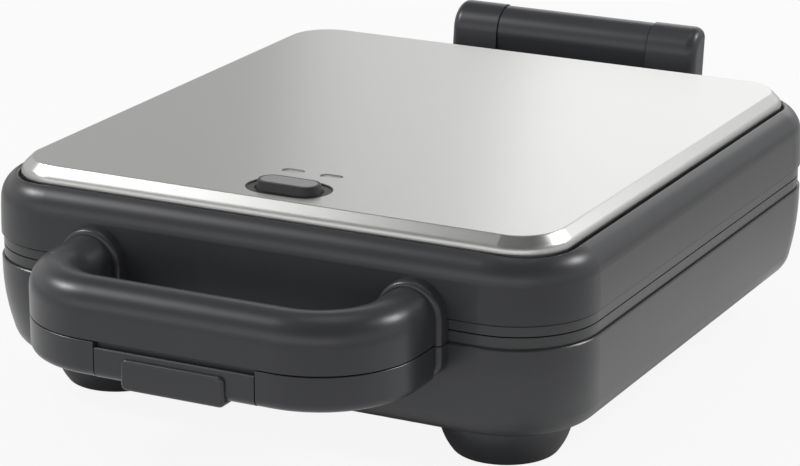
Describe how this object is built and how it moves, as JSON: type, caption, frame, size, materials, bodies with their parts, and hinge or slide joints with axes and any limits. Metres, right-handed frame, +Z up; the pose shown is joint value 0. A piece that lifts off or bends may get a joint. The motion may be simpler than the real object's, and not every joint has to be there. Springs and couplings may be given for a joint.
{
  "type": "sandwich maker",
  "caption": "Countertop sandwich maker: moulded base and hinged lid with deep-pocket cooking plates, split U handle with a latch, push button and raised rear hinge.",
  "frame": {"origin": "under the middle of the whole object's bounding box, on the surface it stands on", "axes": "+Z up, +Y from the handle to the hinge, +X to the right as seen from the handle"},
  "size_m": [0.29, 0.414, 0.1178],
  "materials": {
    "charcoal_plastic": "fine satin moulding",
    "brushed_stainless": "brushed",
    "coated_casting": "dark non-stick coating",
    "element_steel": "heat-darkened",
    "reflector_sheet": "mill finish",
    "zinc_steel": "zinc plated",
    "ceramic": "glazed",
    "black_plastic": "smooth",
    "grey_inlay": "satin",
    "clear_lens": "clear",
    "lamp": "diffused",
    "board": "solder mask",
    "black_rubber": "matte"
  },
  "bodies": {
    "base": {"base_shell": "charcoal_plastic", "base_frame": "charcoal_plastic", "lower_cooking_plate": "coated_casting", "lower_heating_element": "element_steel", "lower_reflector": "reflector_sheet", "lower_plate_screws": "zinc_steel", "lower_thermostat": "zinc_steel", "thermal_fuse": "zinc_steel", "terminal_block": "ceramic", "cord_gland": "black_plastic", "handle_lower": "charcoal_plastic", "handle_lower_screws": "zinc_steel", "latch_pin": "zinc_steel", "hinge_post_left": "charcoal_plastic", "hinge_post_right": "charcoal_plastic", "hinge_post_screws": "zinc_steel", "hinge_axle": "zinc_steel", "foot_front_left": "charcoal_plastic", "foot_front_right": "charcoal_plastic", "foot_rear_left": "charcoal_plastic", "foot_rear_right": "charcoal_plastic", "foot_pads": "black_rubber", "foot_screws": "zinc_steel"},
    "lid": {"lid_shell": "charcoal_plastic", "lid_frame": "charcoal_plastic", "lid_top_plate": "brushed_stainless", "upper_cooking_plate": "coated_casting", "upper_heating_element": "element_steel", "upper_reflector": "reflector_sheet", "upper_plate_screws": "zinc_steel", "upper_thermostat": "zinc_steel", "handle_upper": "charcoal_plastic", "handle_upper_screws": "zinc_steel", "lid_hinge_arm": "charcoal_plastic", "hinge_arm_screws": "zinc_steel", "button_bezel": "black_plastic", "power_lens": "clear_lens", "ready_lens": "clear_lens", "power_lamp": "lamp", "ready_lamp": "lamp", "control_board": "board", "button_switch": "black_plastic"},
    "button": {"button_body": "black_plastic", "button_inlay": "grey_inlay"},
    "latch": {"latch_lever": "charcoal_plastic"}
  },
  "joints": [
    {"name": "lid_hinge", "type": "hinge", "parent": "base", "child": "lid", "pos_m": [0, 0.19785, 0.1095], "axis": [-1, 0, 0], "range_deg": [0, 100]},
    {"name": "button_press", "type": "slide", "parent": "lid", "child": "button", "axis": [0, 0, -1], "range_m": [0, 0.002], "stiffness_N_per_m": 400, "springref_m": -0.004},
    {"name": "latch_rock", "type": "hinge", "parent": "base", "child": "latch", "pos_m": [0, -0.19635, 0.0542], "axis": [1, 0, 0], "range_deg": [0, 10]}
  ]
}
